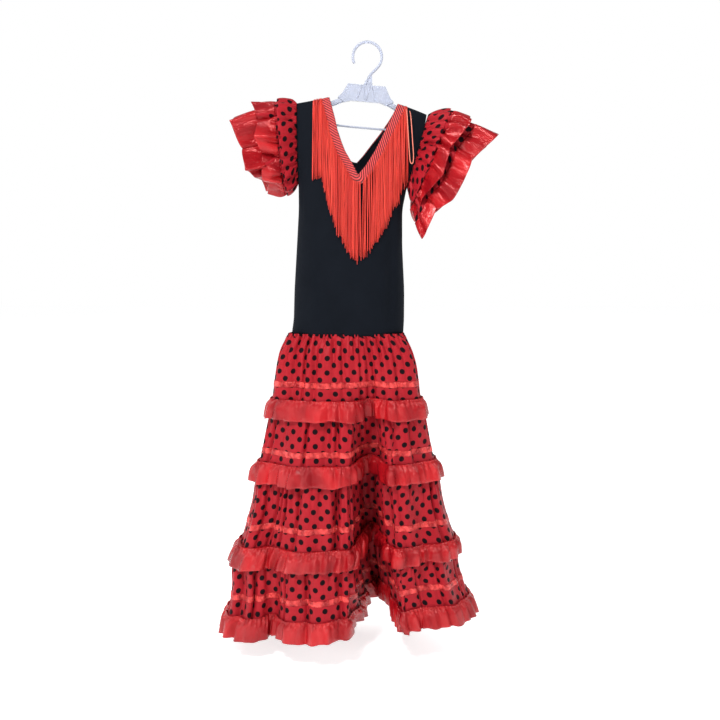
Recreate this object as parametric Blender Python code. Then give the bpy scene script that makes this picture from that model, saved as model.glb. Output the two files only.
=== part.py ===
"""Flamenco dress on a plastic hanger, a girl's size.

Frame: metres, +Z up, the front faces -Y and +X is the viewer's right.
The origin is the point of the hook that rests on a rail.
Every length in the tables below is in millimetres.
"""
import math

import bpy
from mathutils import Matrix, Vector

for item in list(bpy.data.objects):
    bpy.data.objects.remove(item, do_unlink=True)

MM = 0.001
SATIN = 1.2        # wall of the printed satin
KNIT = 1.6         # wall of the stretch knit bodice
RIBBON = 1.0       # wall of a satin ribbon
BRAID = 1.8        # wall of the fringe header
GAP = 0.4          # clearance between two pieces laid on each other
SEAM = 0.5         # half of the clearance where two pieces butt
SKIRT_COLUMNS = 40
SLEEVE_COLUMNS = 24
NARROW = 11.0      # narrow flat ribbon round each tier
HEADER = 34.0      # height of the fringe header measured straight down
FRINGE = 142.0     # length of a fringe strand
RUFFLE_LIFT = 2.5  # how far the lower edge of a ribbon ruffle stands off

# Levels of the skirt: one row each, tier names say which cloth they bound.
SKIRT = (
    dict(z=-556, left=-157, right=72, front=-50, back=45, trough=0, axis=10),
    dict(z=-580, left=-169, right=87, front=-65, back=54, trough=4, axis=10),
    dict(z=-616, left=-176, right=98, front=-72, back=58, trough=12, axis=10),
    dict(z=-683, left=-185, right=106, front=-76, back=62, trough=28, axis=10),
    dict(z=-720, left=-195, right=116, front=-82, back=66, trough=42, axis=10),
    dict(z=-787, left=-209, right=128, front=-93, back=73, trough=72, axis=6),
    dict(z=-806, left=-214, right=134, front=-95, back=75, trough=82, axis=5),
    dict(z=-848, left=-227, right=145, front=-102, back=80, trough=103, axis=4),
    dict(z=-885, left=-231, right=150, front=-105, back=85, trough=120, axis=6),
    dict(z=-932, left=-245, right=163, front=-110, back=90, trough=138, axis=8),
    dict(z=-966, left=-257, right=177, front=-115, back=94, trough=150, axis=9),
    dict(z=-1010, left=-275, right=183, front=-122, back=100, trough=166, axis=12),
    dict(z=-1035, left=-272, right=185, front=-123, back=103, trough=176, axis=15),
    dict(z=-1067, left=-276, right=194, front=-126, back=107, trough=188, axis=19),
    dict(z=-1100, left=-283, right=206, front=-131, back=112, trough=202, axis=23),
    dict(z=-1138, left=-292, right=220, front=-137, back=116, trough=214, axis=25),
)
# Soft folds: x where the fold meets the hem, which face, depth at the hem,
# half its width, and the level where it starts.
FOLDS = (
    dict(x=-188, face=-1, depth=38, half=30, start=-700),
    dict(x=-120, face=-1, depth=-8, half=40, start=-700),
    dict(x=106, face=-1, depth=16, half=20, start=-690),
    dict(x=-190, face=1, depth=26, half=34, start=-620),
    dict(x=-84, face=1, depth=38, half=36, start=-600),
    dict(x=112, face=1, depth=32, half=34, start=-620),
)
TROUGH_HALF = 50.0   # half the width of the deep front pleat at the hem
LEFT_DROP = 24.0     # the left of the hem hangs this much lower

# Tiers: the seam it hangs from, its narrow ribbon, its lower edge and
# the rows of cloth between.
TIERS = (
    dict(top=-556, rows=(-580, -616), ribbon=-645, bottom=-683),
    dict(top=-683, rows=(-720,), ribbon=-777, bottom=-806),
    dict(top=-806, rows=(-848, -885), ribbon=-921, bottom=-966),
    dict(top=-966, rows=(-1010, -1035), ribbon=-1056, bottom=-1138),
)
HEM_RUFFLE_TOP = -1100

# Levels of the bodice.  Above the underarm the width is that of the oval
# the armholes cut.
BODICE = (
    dict(z=-100, middle=-8, half=144, front=24, back=22),
    dict(z=-123, middle=-10, half=144, front=24, back=22),
    dict(z=-155, middle=-13, half=138.6, front=29, back=26),
    dict(z=-190, middle=-16, half=132.6, front=33, back=29),
    dict(z=-232, middle=-21, half=117.5, front=38, back=34),
    dict(z=-264, middle=-27.5, half=105.5, front=42, back=37),
    dict(z=-314, middle=-32.5, half=100.5, front=45, back=40),
    dict(z=-386, middle=-34.5, half=103, front=47, back=42),
    dict(z=-470, middle=-35, half=108, front=49, back=44),
    dict(z=-530, middle=-38, half=111, front=50, back=45),
    dict(z=-556, middle=-42.5, half=114, front=50, back=45),
)
SHOULDER = (
    dict(at=-1.0, z=-114), dict(at=-0.88, z=-112), dict(at=-0.465, z=-101),
    dict(at=0.0, z=-106), dict(at=0.507, z=-114), dict(at=0.88, z=-133),
    dict(at=1.0, z=-136),
)
# Upper edge of each panel: place across the panel and height there.
# trim says that the fringe header runs along that part of the edge.
FRONT_EDGE = (
    dict(at=-1.0, z=-264, trim=0), dict(at=-0.96, z=-232, trim=0),
    dict(at=-0.905, z=-190, trim=0), dict(at=-0.89, z=-150, trim=0),
    dict(at=-0.88, z=-112, trim=0), dict(at=-0.72, z=-108, trim=0),
    dict(at=-0.6, z=-104.5, trim=0),
    dict(at=-0.465, z=-101, trim=1), dict(at=-0.33, z=-158, trim=1),
    dict(at=-0.21, z=-201, trim=1), dict(at=-0.08, z=-227, trim=1),
    dict(at=0.0568, z=-249, trim=1), dict(at=0.165, z=-231, trim=1),
    dict(at=0.275, z=-200, trim=1), dict(at=0.40, z=-150, trim=1),
    dict(at=0.507, z=-114, trim=1),
    dict(at=0.63, z=-120, trim=0), dict(at=0.75, z=-126, trim=0),
    dict(at=0.88, z=-133, trim=0), dict(at=0.89, z=-158, trim=0),
    dict(at=0.905, z=-192, trim=0), dict(at=0.96, z=-234, trim=0),
    dict(at=1.0, z=-267, trim=0),
)
BACK_EDGE = (
    dict(at=-1.0, z=-264, trim=0), dict(at=-0.96, z=-232, trim=0),
    dict(at=-0.905, z=-190, trim=0), dict(at=-0.89, z=-150, trim=0),
    dict(at=-0.88, z=-112, trim=0), dict(at=-0.72, z=-108, trim=0),
    dict(at=-0.6, z=-104.5, trim=0),
    dict(at=-0.465, z=-101, trim=1), dict(at=-0.40, z=-142, trim=1),
    dict(at=-0.23, z=-203, trim=1), dict(at=0.0, z=-221, trim=1),
    dict(at=0.209, z=-184, trim=1), dict(at=0.40, z=-143, trim=1),
    dict(at=0.507, z=-114, trim=1),
    dict(at=0.63, z=-120, trim=0), dict(at=0.75, z=-126, trim=0),
    dict(at=0.88, z=-133, trim=0), dict(at=0.89, z=-158, trim=0),
    dict(at=0.905, z=-192, trim=0), dict(at=0.96, z=-234, trim=0),
    dict(at=1.0, z=-267, trim=0),
)

# Sleeves: rings from the armhole outwards; upper and lower point of the
# ring, its front and its back, and how deep its frills fold there.
SLEEVES = dict(
    left=dict(
        cap=(
            dict(xt=-139.5, zt=-115, xb=-138.5, zb=-262, front=-20, back=18, fold=0),
            dict(xt=-165, zt=-107, xb=-152, zb=-276, front=-40, back=36, fold=3),
        ),
        upper=(
            dict(xt=-166, zt=-107, xb=-153, zb=-276, front=-40, back=36, fold=3),
            dict(xt=-208, zt=-115, xb=-188, zb=-277, front=-66, back=58, fold=9),
        ),
        lower=(
            dict(xt=-167, zt=-114, xb=-154, zb=-269, front=-33, back=29, fold=3),
            dict(xt=-258, zt=-143, xb=-226, zb=-253, front=-62, back=56, fold=10),
        ),
    ),
    right=dict(
        cap=(
            dict(xt=124, zt=-134, xb=84, zb=-268, front=-20, back=18, fold=0),
            dict(xt=150, zt=-128, xb=86, zb=-293, front=-42, back=36, fold=3),
        ),
        upper=(
            dict(xt=151, zt=-128, xb=87, zb=-294, front=-42, back=36, fold=3),
            dict(xt=190, zt=-138, xb=94, zb=-320, front=-72, back=56, fold=9),
        ),
        lower=(
            dict(xt=151, zt=-135, xb=91, zb=-287, front=-35, back=29, fold=3),
            dict(xt=245, zt=-165, xb=99, zb=-358, front=-70, back=54, fold=10),
        ),
    ),
)
SLEEVE_FOLDS = 6
FRILL_SEAM = 0.48    # share of a frill that is printed cloth, the rest is ribbon


def table(rows, key, value, column):
    """Value of a column between the two rows of a table that bracket it."""
    ordered = sorted(rows, key=lambda row: row[key])
    if value <= ordered[0][key]:
        return ordered[0][column]
    for low, high in zip(ordered, ordered[1:]):
        if value <= high[key]:
            share = (value - low[key]) / (high[key] - low[key])
            return low[column] + share * (high[column] - low[column])
    return ordered[-1][column]


def material(name, colour, rough, metal=0.0):
    made = bpy.data.materials.new(name)
    made.use_nodes = True
    shader = made.node_tree.nodes["Principled BSDF"]
    shader.inputs["Base Color"].default_value = (*colour, 1.0)
    shader.inputs["Roughness"].default_value = rough
    shader.inputs["Metallic"].default_value = metal
    made.diffuse_color = (*colour, 1.0)
    return made


def solid(name, points, faces, colour, rough):
    mesh = bpy.data.meshes.new(name)
    mesh.from_pydata([p * MM for p in points], [], faces)
    mesh.materials.append(material(name + "_cloth", colour, rough))
    made = bpy.data.objects.new(name, mesh)
    bpy.context.scene.collection.objects.link(made)
    return made


def grid_triangles(rows, columns, ring):
    """Two triangles for each cell, split always the same way."""
    made = []
    last = columns if ring else columns - 1
    for i in range(rows - 1):
        for j in range(last):
            k = (j + 1) % columns
            made.append(((i, j), (i + 1, k), (i, k)))
            made.append(((i, j), (i + 1, j), (i + 1, k)))
    return made


def normals(points, ring):
    """Outward offset at each point of a grid whose rows run down.

    It lies one unit outside every face round the point as nearly as it
    can, so a wall keeps its thickness on both flanks of a fold.
    """
    rows = len(points)
    columns = len(points[0])
    total = [[Vector((0, 0, 0)) for _ in range(columns)] for _ in range(rows)]
    square = [[Matrix.Identity(3) * 0.06 for _ in range(columns)] for _ in range(rows)]
    for corner in grid_triangles(rows, columns, ring):
        a, b, c = (points[i][j] for i, j in corner)
        face = (b - a).cross(c - a).normalized()
        for i, j in corner:
            total[i][j] += face
            for row in range(3):
                square[i][j][row] += face * face[row]
    for i in range(rows):
        for j in range(columns):
            total[i][j] = square[i][j].inverted() @ total[i][j]
    return total


def wall(name, points, out, ring, low, high, colour, rough, cells=None):
    """Closed wall between two offsets of a grid, or of some of its cells.

    low and high are offsets, or functions of the row.
    """
    rows = len(points)
    columns = len(points[0])
    chosen = cells if cells is not None else grid_triangles(rows, columns, ring)
    used = sorted({corner for cell in chosen for corner in cell})
    index = {corner: n for n, corner in enumerate(used)}
    inner = []
    outer = []
    for i, j in used:
        a = low(i) if callable(low) else low
        b = high(i) if callable(high) else high
        inner.append(points[i][j] + out[i][j] * a)
        outer.append(points[i][j] + out[i][j] * b)
    count = len(used)
    faces = []
    edges = {}
    for cell in chosen:
        a, b, c = (index[corner] for corner in cell)
        faces.append((a + count, b + count, c + count))
        faces.append((c, b, a))
        for p, q in ((a, b), (b, c), (c, a)):
            edges[(p, q)] = True
    for p, q in edges:
        if (q, p) not in edges:
            faces.append((q + count, p + count, p))
            faces.append((q + count, p, q))
    return solid(name, inner + outer, faces, colour, rough)


# ---------------------------------------------------------------- skirt
def growth(z, start):
    """Share of a fold at this level: none at its start, whole at the hem."""
    span = SKIRT[-1]["z"] - start
    share = min(max((z - start) / span, 0.0), 1.0)
    return share ** 0.85


def skirt_point(turn, z, lift=0.0):
    """Point of the skirt; turn 0 is the back, 0.25 the viewer's left."""
    left = table(SKIRT, "z", z, "left")
    right = table(SKIRT, "z", z, "right")
    front = table(SKIRT, "z", z, "front")
    back = table(SKIRT, "z", z, "back")
    depth = table(SKIRT, "z", z, "trough")
    axis = table(SKIRT, "z", z, "axis")
    centre = Vector(((left + right) / 2, -24.0, z))
    angle = turn * 2 * math.pi
    power = 2 / 2.3
    across = math.copysign(abs(math.sin(angle)) ** power, -math.sin(angle))
    along = math.copysign(abs(math.cos(angle)) ** power, math.cos(angle))
    half = (right - left) / 2
    reach = (back - centre.y) if along > 0 else (centre.y - front)
    x = centre.x + (half + lift) * across
    y = centre.y + (reach + lift) * along
    sink = 0.0
    for fold in FOLDS:
        if fold["face"] * along <= 0:
            continue
        near = math.exp(-((x - fold["x"]) / fold["half"]) ** 2)
        near *= min(1.0, abs(along) * 2.5)
        amount = fold["depth"] * growth(z, fold["start"]) * near
        y -= fold["face"] * amount
        sink += abs(amount)
    if along < 0:
        wide = TROUGH_HALF * (0.75 + 0.25 * depth / 214)
        far = abs(x - axis) / wide
        if far < 1:
            shape = (1 - far * far) ** 1.5
            y += depth * shape
            sink += depth * shape
    share = growth(z, -700)
    drop = LEFT_DROP * share * max(0.0, -(x + 40) / 250)
    return Vector((x, y, z - drop + 0.05 * sink))


def even_turns(count):
    """Turns that divide the hem, folds and all, into equal lengths."""
    fine = 1440
    hem = [skirt_point(n / fine, -1100) for n in range(fine + 1)]
    length = [0.0]
    for a, b in zip(hem, hem[1:]):
        length.append(length[-1] + (b - a).length)
    turns = []
    n = 0
    for k in range(count):
        goal = length[-1] * k / count
        while length[n + 1] < goal:
            n += 1
        share = (goal - length[n]) / (length[n + 1] - length[n])
        turns.append((n + share) / fine)
    return turns


TURNS = even_turns(SKIRT_COLUMNS)


def skirt_rows(levels):
    return [[skirt_point(turn, z) for turn in TURNS] for z in levels]


RED = (0.62, 0.02, 0.04)
RIBBON_RED = (0.7, 0.025, 0.05)
BLACK = (0.012, 0.014, 0.018)
FRINGE_RED = (0.78, 0.08, 0.04)


def build_tier(number, tier):
    top = tier["top"] - SEAM
    bottom = tier["bottom"] + (SEAM if number < 4 else 0.0)
    ribbon = (tier["ribbon"], tier["ribbon"] - NARROW)
    levels = [top, *tier["rows"], *ribbon]
    if number == 4:
        levels.append(HEM_RUFFLE_TOP)
    levels.append(bottom)
    points = skirt_rows(levels)
    out = normals(points, True)
    wall(f"skirt_tier_{number}", points, out, True, -SATIN / 2, SATIN / 2, RED, 0.35)
    first = levels.index(ribbon[0])
    low = SATIN / 2 + GAP
    wall(
        f"narrow_ribbon_{number}", points[first:first + 2], out[first:first + 2],
        True, low, low + RIBBON, RIBBON_RED, 0.2,
    )
    return points, out


def build_ruffle(number, points, out):
    """Wide ribbon gathered along its upper edge, moved out from the cloth."""
    low = SATIN / 2 + GAP + 0.4

    def inner(row):
        return low + RUFFLE_LIFT * row

    def outer(row):
        return low + RIBBON + RUFFLE_LIFT * row

    wall(
        f"ribbon_ruffle_{number}", points, out, True, inner, outer, RIBBON_RED, 0.2,
    )


for number, tier in enumerate(TIERS, 1):
    cloth, away = build_tier(number, tier)
    if number > 1:
        build_ruffle(number - 1, cloth[:2], away[:2])
build_ruffle(4, cloth[-2:], away[-2:])


# --------------------------------------------------------------- bodice
def bodice_point(at, z, side, lift=0.0):
    """Point of the front (side -1) or back (side 1) panel."""
    middle = table(BODICE, "z", z, "middle")
    half = table(BODICE, "z", z, "half")
    depth = table(BODICE, "z", z, "front" if side < 0 else "back")
    line = table(SHOULDER, "at", at, "z")
    below = max(0.0, line - z)
    shape = (1 - abs(at) ** 3) ** 0.5
    full = 1 - math.exp(-below / 18)
    y = 0.5 + max(0.5, (depth * full + lift) * shape + 1.2)
    if abs(at) >= 1:
        y = 0.5
    return Vector((middle + half * at, side * y, z))


def bodice_grid(edge, side):
    """Rows run down; the first cell of a trimmed column is the header."""
    waist = -556 + SEAM
    columns = []
    for mark in edge:
        top = mark["z"]
        first = top - (HEADER if mark["trim"] else 14.0)
        column = [bodice_point(mark["at"], top, side)]
        for share in (0.0, 0.1, 0.28, 0.6, 1.0):
            z = first + (waist - first) * share
            column.append(bodice_point(mark["at"], z, side))
        columns.append(column)
    if side > 0:
        columns.reverse()
    return [list(row) for row in zip(*columns)]


def build_panel(name, edge, side):
    points = bodice_grid(edge, side)
    out = normals(points, False)
    wall(name, points, out, False, -KNIT / 2, KNIT / 2, BLACK, 0.8)
    marks = list(edge) if side < 0 else list(reversed(edge))
    cells = []
    for cell in grid_triangles(2, len(marks), False):
        if all(i == 0 or marks[j]["trim"] for i, j in cell):
            cells.append(cell)
    kept = []
    for cell in cells:
        trimmed = [j for _, j in cell if marks[j]["trim"]]
        if len({j for _, j in cell}) == 2 and trimmed:
            kept.append(cell)
    label = "front" if side < 0 else "back"
    low = KNIT / 2 + GAP
    wall(
        f"braid_{label}", points, out, False, low, low + BRAID,
        (0.55, 0.03, 0.04), 0.6, kept,
    )
    fringe = []
    for mark in marks:
        if not -0.68 < mark["at"] < 0.66:
            continue
        top = mark["z"] - (HEADER if mark["trim"] else 8.0)
        length = FRINGE if mark["trim"] else FRINGE - 12
        column = []
        for share in (0.0, 0.08, 0.2, 0.45, 1.0):
            z = top - 1.0 - length * share
            column.append(bodice_point(mark["at"], z, side, 5.2))
        fringe.append(column)
    rows = [list(row) for row in zip(*fringe)]
    wall(
        f"fringe_{label}", rows, normals(rows, False), False, -0.2, 1.8,
        FRINGE_RED, 0.6,
    )


build_panel("bodice_front", FRONT_EDGE, -1)
build_panel("bodice_back", BACK_EDGE, 1)


# -------------------------------------------------------------- sleeves
def sleeve_point(rings, share, turn):
    """turn 0 is the top of the ring, 0.25 its front."""
    first, last = rings
    now = {key: first[key] + share * (last[key] - first[key]) for key in first}
    angle = turn * 2 * math.pi
    up = math.cos(angle)
    forward = math.sin(angle)
    wave = math.cos(SLEEVE_FOLDS * angle)
    centre = Vector(((now["xt"] + now["xb"]) / 2, 0.0, (now["zt"] + now["zb"]) / 2))
    arm = Vector(((now["xt"] - now["xb"]) / 2, 0.0, (now["zt"] - now["zb"]) / 2))
    reach = -now["front"] if forward > 0 else now["back"]
    stretch = 1 + now["fold"] * wave / max(arm.length, 1.0)
    side = reach + now["fold"] * wave
    return centre + arm * (up * stretch) + Vector((0, -forward * side, 0))


def sleeve_grid(rings, shares, mirror):
    order = range(SLEEVE_COLUMNS)
    if mirror:
        order = range(SLEEVE_COLUMNS - 1, -1, -1)
    turns = [n / SLEEVE_COLUMNS for n in order]
    return [[sleeve_point(rings, share, turn) for turn in turns] for share in shares]


def build_sleeve(side):
    rings = SLEEVES[side]
    mirror = side == "left"
    pieces = (
        ("sleeve_cap", "cap", (0.0, 0.55, 1.0), SATIN, RED),
        ("frill_upper", "upper", (0.0, FRILL_SEAM), SATIN, RED),
        ("frill_ribbon_upper", "upper", (FRILL_SEAM + 0.03, 1.0), RIBBON, RIBBON_RED),
        ("frill_lower", "lower", (0.0, 0.3, 0.6), SATIN, RED),
        ("frill_ribbon_lower", "lower", (0.62, 1.0), RIBBON, RIBBON_RED),
    )
    for name, part, shares, thick, colour in pieces:
        points = sleeve_grid(rings[part], shares, mirror)
        out = normals(points, True)
        rough = 0.35 if colour == RED else 0.2
        wall(
            f"{name}_{side}", points, out, True, -thick / 2, thick / 2, colour, rough,
        )


build_sleeve("left")
build_sleeve("right")


# --------------------------------------------------------------- hanger
TILT = math.radians(5.0)
SHIFT = 6.0


def tilted(x, z):
    """Place of a hanger point after the hanger has swung on its hook."""
    return (
        SHIFT + x * math.cos(TILT) + z * math.sin(TILT),
        -x * math.sin(TILT) + z * math.cos(TILT),
    )


def sweep(points, path, ring, closed_path):
    """Add a swept bar: path of (x, z), ring of (across, y) offsets."""
    base = len(points)
    count = len(path)
    for n, (x, z) in enumerate(path):
        a = path[(n - 1) % count] if closed_path or n > 0 else path[n]
        b = path[(n + 1) % count] if closed_path or n < count - 1 else path[n]
        along = Vector((b[0] - a[0], 0, b[1] - a[1])).normalized()
        side = Vector((-along.z, 0, along.x))
        for across, y in ring:
            points.append(Vector((x, y, z)) + side * across)
    size = len(ring)
    faces = []
    last = count if closed_path else count - 1
    for n in range(last):
        m = (n + 1) % count
        for k in range(size):
            q = (k + 1) % size
            faces.append(
                (base + n * size + k, base + n * size + q,
                 base + m * size + q, base + m * size + k)
            )
    if not closed_path:
        faces.append(tuple(base + k for k in reversed(range(size))))
        faces.append(tuple(base + (count - 1) * size + k for k in range(size)))
    return faces


def bar_ring(high, thick, bevel):
    return (
        (-high / 2, -thick / 2 + bevel), (-high / 2 + bevel, -thick / 2),
        (high / 2 - bevel, -thick / 2), (high / 2, -thick / 2 + bevel),
        (high / 2, thick / 2 - bevel), (high / 2 - bevel, thick / 2),
        (-high / 2 + bevel, thick / 2), (-high / 2, thick / 2 - bevel),
    )


def piece(name, points, faces):
    made = solid(name, points, faces, (0.8, 0.83, 0.92), 0.25)
    return made


def prism(outline, thick):
    """Flat plate: outline of (x, z) drawn the same way round as a clock."""
    count = len(outline)
    points = [Vector((x, -thick / 2, z)) for x, z in outline]
    points += [Vector((x, thick / 2, z)) for x, z in outline]
    faces = [tuple(reversed(range(count))), tuple(range(count, 2 * count))]
    for n in range(count):
        m = (n + 1) % count
        faces.append((n, m, m + count, n + count))
    return points, faces


def outward(made):
    """Turn every face of a closed body outwards."""
    import bmesh

    work = bmesh.new()
    work.from_mesh(made.data)
    bmesh.ops.recalc_face_normals(work, faces=work.faces)
    work.to_mesh(made.data)
    work.free()


HANGER_LOOP = (
    (0, -99), (26, -101), (48, -110.5), (70, -121), (90, -126), (105, -129),
    (112, -134), (114, -141), (108, -149), (94, -154.5), (70, -157), (30, -158),
    (0, -158), (-30, -158), (-70, -157), (-94, -154.5), (-108, -149),
    (-114, -141), (-112, -134), (-105, -129), (-90, -126), (-70, -121),
    (-48, -110.5), (-26, -101),
)
HOOK_CENTRE = -25.2
HOOK_RADIUS = 27.7
HOOK_WIRE = 5.0


def build_hanger():
    # arms and trouser bar, one closed loop with a bar thinner than the arms
    ring = bar_ring(10.0, 6.0, 2.2)
    thin = bar_ring(3.6, 5.0, 1.0)
    points = []
    path = [tilted(x, z) for x, z in HANGER_LOOP]
    count = len(path)
    for n, (x, z) in enumerate(path):
        a = path[(n - 1) % count]
        b = path[(n + 1) % count]
        along = Vector((b[0] - a[0], 0, b[1] - a[1])).normalized()
        side = Vector((-along.z, 0, along.x))
        level = HANGER_LOOP[n][1]
        share = min(max((level + 150) / 25, 0.0), 1.0)
        for (wide, y), (small, slim) in zip(ring, thin):
            across = small + share * (wide - small)
            depth = slim + share * (y - slim)
            points.append(Vector((x, depth, z)) + side * across)
    faces = []
    for n in range(count):
        m = (n + 1) % count
        for k in range(8):
            q = (k + 1) % 8
            faces.append((n * 8 + k, n * 8 + q, m * 8 + q, m * 8 + k))
    body = piece("hanger", points, faces)
    outward(body)

    # centre block that carries the hook
    block = [tilted(x, z) for x, z in (
        (-36, -78), (36, -78), (46, -97), (54, -105), (40, -113), (28, -109),
        (-28, -109), (-40, -113), (-54, -105), (-46, -97),
    )]
    points, faces = prism(block, 10.0)
    plate = piece("hanger_block", points, faces)
    outward(plate)

    # moulded ribs on both faces of the block
    ribs = []
    for x0, x1 in ((-9, -17), (9, 17), (-6, -1.5), (6, 1.5)):
        path = [tilted(x0, -80), tilted(x1, -106)]
        made = []
        cell = sweep(made, path, bar_ring(2.0, 12.4, 0.5), False)
        rib = piece("hanger_rib", made, cell)
        outward(rib)
        ribs.append(rib)

    # hook: from the block up to the right, over the rail and down the left
    path = [(-7.5, -84.0), (-2.0, -71.0), (6.0, -58.0)]
    for n in range(21):
        angle = math.radians(-45 + 250 * n / 20)
        path.append((HOOK_RADIUS * math.cos(angle),
                     HOOK_CENTRE + HOOK_RADIUS * math.sin(angle)))
    made = []
    cell = sweep(made, path, bar_ring(HOOK_WIRE, 6.0, 1.4), False)
    hook = piece("hanger_hook", made, cell)
    outward(hook)
    gusset, cell = prism([(-4, -72), (7, -57), (9, -60), (10, -82), (-4, -82)], 3.0)
    brace = piece("hanger_brace", gusset, cell)
    outward(brace)

    for part in [plate, hook, brace, *ribs]:
        join = body.modifiers.new("join", "BOOLEAN")
        join.operation = "UNION"
        join.solver = "EXACT"
        join.object = part
        bpy.context.view_layer.objects.active = body
        body.select_set(True)
        bpy.ops.object.modifier_apply(modifier=join.name)
        bpy.data.objects.remove(part, do_unlink=True)


build_hanger()


# ---------------------------------------------------------- hanger loop
LOOP_THICK = 2.0
LOOP_ROUTE = (
    (74, -13, -124), (74.6, -20, -128), (75.2, -28, -136), (76, -35.5, -152),
    (77, -41, -170), (78, -44.5, -188), (79, -47.5, -206),
    (80, -49.5, -218), (81, -50.5, -225), (83, -51, -228.5),
    (85.2, -50.5, -228), (86.6, -49.5, -223), (87, -48, -214),
    (86.2, -46.5, -200), (85, -43, -182), (84, -39, -164),
    (83, -32.5, -148), (82, -24.5, -135), (81, -15, -128),
)


def build_loop():
    """Thin ribbon loop sewn at the right shoulder, hanging over the fringe."""
    curve = bpy.data.curves.new("hanger_loop_route", "CURVE")
    curve.dimensions = "3D"
    curve.bevel_depth = LOOP_THICK / 2 * MM
    curve.bevel_resolution = 1
    curve.resolution_u = 2
    curve.use_fill_caps = True
    spline = curve.splines.new("BEZIER")
    spline.bezier_points.add(len(LOOP_ROUTE) - 1)
    for knot, place in zip(spline.bezier_points, LOOP_ROUTE):
        knot.co = Vector(place) * MM
        knot.handle_left_type = "AUTO"
        knot.handle_right_type = "AUTO"
    made = bpy.data.objects.new("hanger_loop", curve)
    curve.materials.append(material("hanger_loop_cloth", (0.85, 0.35, 0.3), 0.4))
    bpy.context.scene.collection.objects.link(made)


build_loop()
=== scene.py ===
"""Looks of a flamenco dress on its plastic hanger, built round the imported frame.

Lengths are in millimetres until a mesh is made.  The frame, the lights, the
camera and the scales inside the materials are in metres.
"""
import math

import bpy
import numpy as np
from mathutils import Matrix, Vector


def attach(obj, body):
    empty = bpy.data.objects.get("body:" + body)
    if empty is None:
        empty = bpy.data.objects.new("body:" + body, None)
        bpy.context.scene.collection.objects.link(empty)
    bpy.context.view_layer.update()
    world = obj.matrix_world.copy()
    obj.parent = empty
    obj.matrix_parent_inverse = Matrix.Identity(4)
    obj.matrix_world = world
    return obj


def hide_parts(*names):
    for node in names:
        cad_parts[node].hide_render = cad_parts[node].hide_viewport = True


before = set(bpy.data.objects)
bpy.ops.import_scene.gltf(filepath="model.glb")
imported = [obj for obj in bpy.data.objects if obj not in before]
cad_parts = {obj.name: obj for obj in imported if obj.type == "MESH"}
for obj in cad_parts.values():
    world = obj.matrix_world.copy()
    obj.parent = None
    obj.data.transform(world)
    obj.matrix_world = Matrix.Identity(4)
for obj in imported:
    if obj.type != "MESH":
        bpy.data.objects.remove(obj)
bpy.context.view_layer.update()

MM = 0.001
TAU = 2 * math.pi

# ---------------------------------------------------------------- tables
SKIRT = (
    dict(z=-556, left=-152, right=72, front=-50, back=45, trough=0, axis=10),
    dict(z=-580, left=-169, right=87, front=-65, back=54, trough=4, axis=10),
    dict(z=-616, left=-176, right=98, front=-72, back=58, trough=12, axis=10),
    dict(z=-683, left=-185, right=106, front=-76, back=62, trough=28, axis=10),
    dict(z=-720, left=-195, right=116, front=-82, back=66, trough=42, axis=10),
    dict(z=-787, left=-209, right=128, front=-93, back=73, trough=72, axis=6),
    dict(z=-806, left=-214, right=134, front=-95, back=75, trough=82, axis=5),
    dict(z=-848, left=-227, right=145, front=-102, back=80, trough=103, axis=4),
    dict(z=-885, left=-231, right=150, front=-105, back=85, trough=120, axis=6),
    dict(z=-932, left=-245, right=163, front=-110, back=90, trough=138, axis=8),
    dict(z=-966, left=-257, right=177, front=-115, back=94, trough=150, axis=9),
    dict(z=-1010, left=-275, right=183, front=-122, back=100, trough=166, axis=12),
    dict(z=-1035, left=-272, right=185, front=-123, back=103, trough=176, axis=15),
    dict(z=-1067, left=-276, right=194, front=-126, back=107, trough=188, axis=19),
    dict(z=-1100, left=-283, right=206, front=-131, back=112, trough=202, axis=23),
    dict(z=-1138, left=-292, right=220, front=-137, back=116, trough=214, axis=25),
)
FOLDS = (
    dict(x=-188, face=-1, depth=38, half=30, start=-700),
    dict(x=-120, face=-1, depth=-8, half=40, start=-700),
    dict(x=106, face=-1, depth=16, half=20, start=-690),
    dict(x=-190, face=1, depth=26, half=34, start=-620),
    dict(x=-84, face=1, depth=38, half=36, start=-600),
    dict(x=112, face=1, depth=32, half=34, start=-620),
)
TROUGH_HALF = 50.0     # half the width of the deep front pleat
LEFT_DROP = 24.0       # how much lower the hem hangs at its left
RIGHT_RISE = 13.0      # and how much higher at its right
TIERS = (
    dict(top=-556, ribbon=-645, bottom=-683),
    dict(top=-683, ribbon=-777, bottom=-806),
    dict(top=-806, ribbon=-921, bottom=-966),
    dict(top=-966, ribbon=-1056, bottom=-1131),
)
HEM_RUFFLE_TOP = -1100
NARROW = 11.0          # width of the narrow ribbon
WIDE = 40.0            # width of the wide ribbon
DOT_ACROSS = 29.0      # repeat of the printed dots along the cloth
DOT_DOWN = 27.6        # and down it
DOT_RADIUS = 5.4       # of one printed dot
BRAID_WIDE = 17.0      # width of the braid header
TWILL = 5.8            # distance between the braid's diagonal cords
STRAND = 148.0         # length of a fringe strand
STRAND_RADIUS = 0.74   # of one strand
STRAND_STEP = 2.25     # distance between strands of one layer
FRINGE_LEFT = -103.5   # first strand
FRINGE_RIGHT = 77.0    # end of the fringe
LOOP_THICK = 1.8       # thickness of the hanger loop
SKIRT_MIDDLE = -24.0   # depth at which the skirt's front half meets its back half
WAIST = -556.5         # lower edge of the bodice
FLOOR = -1200.0        # height of the floor under the hem
FLOOR_HALF = 9000.0    # half of the floor's side
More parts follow.
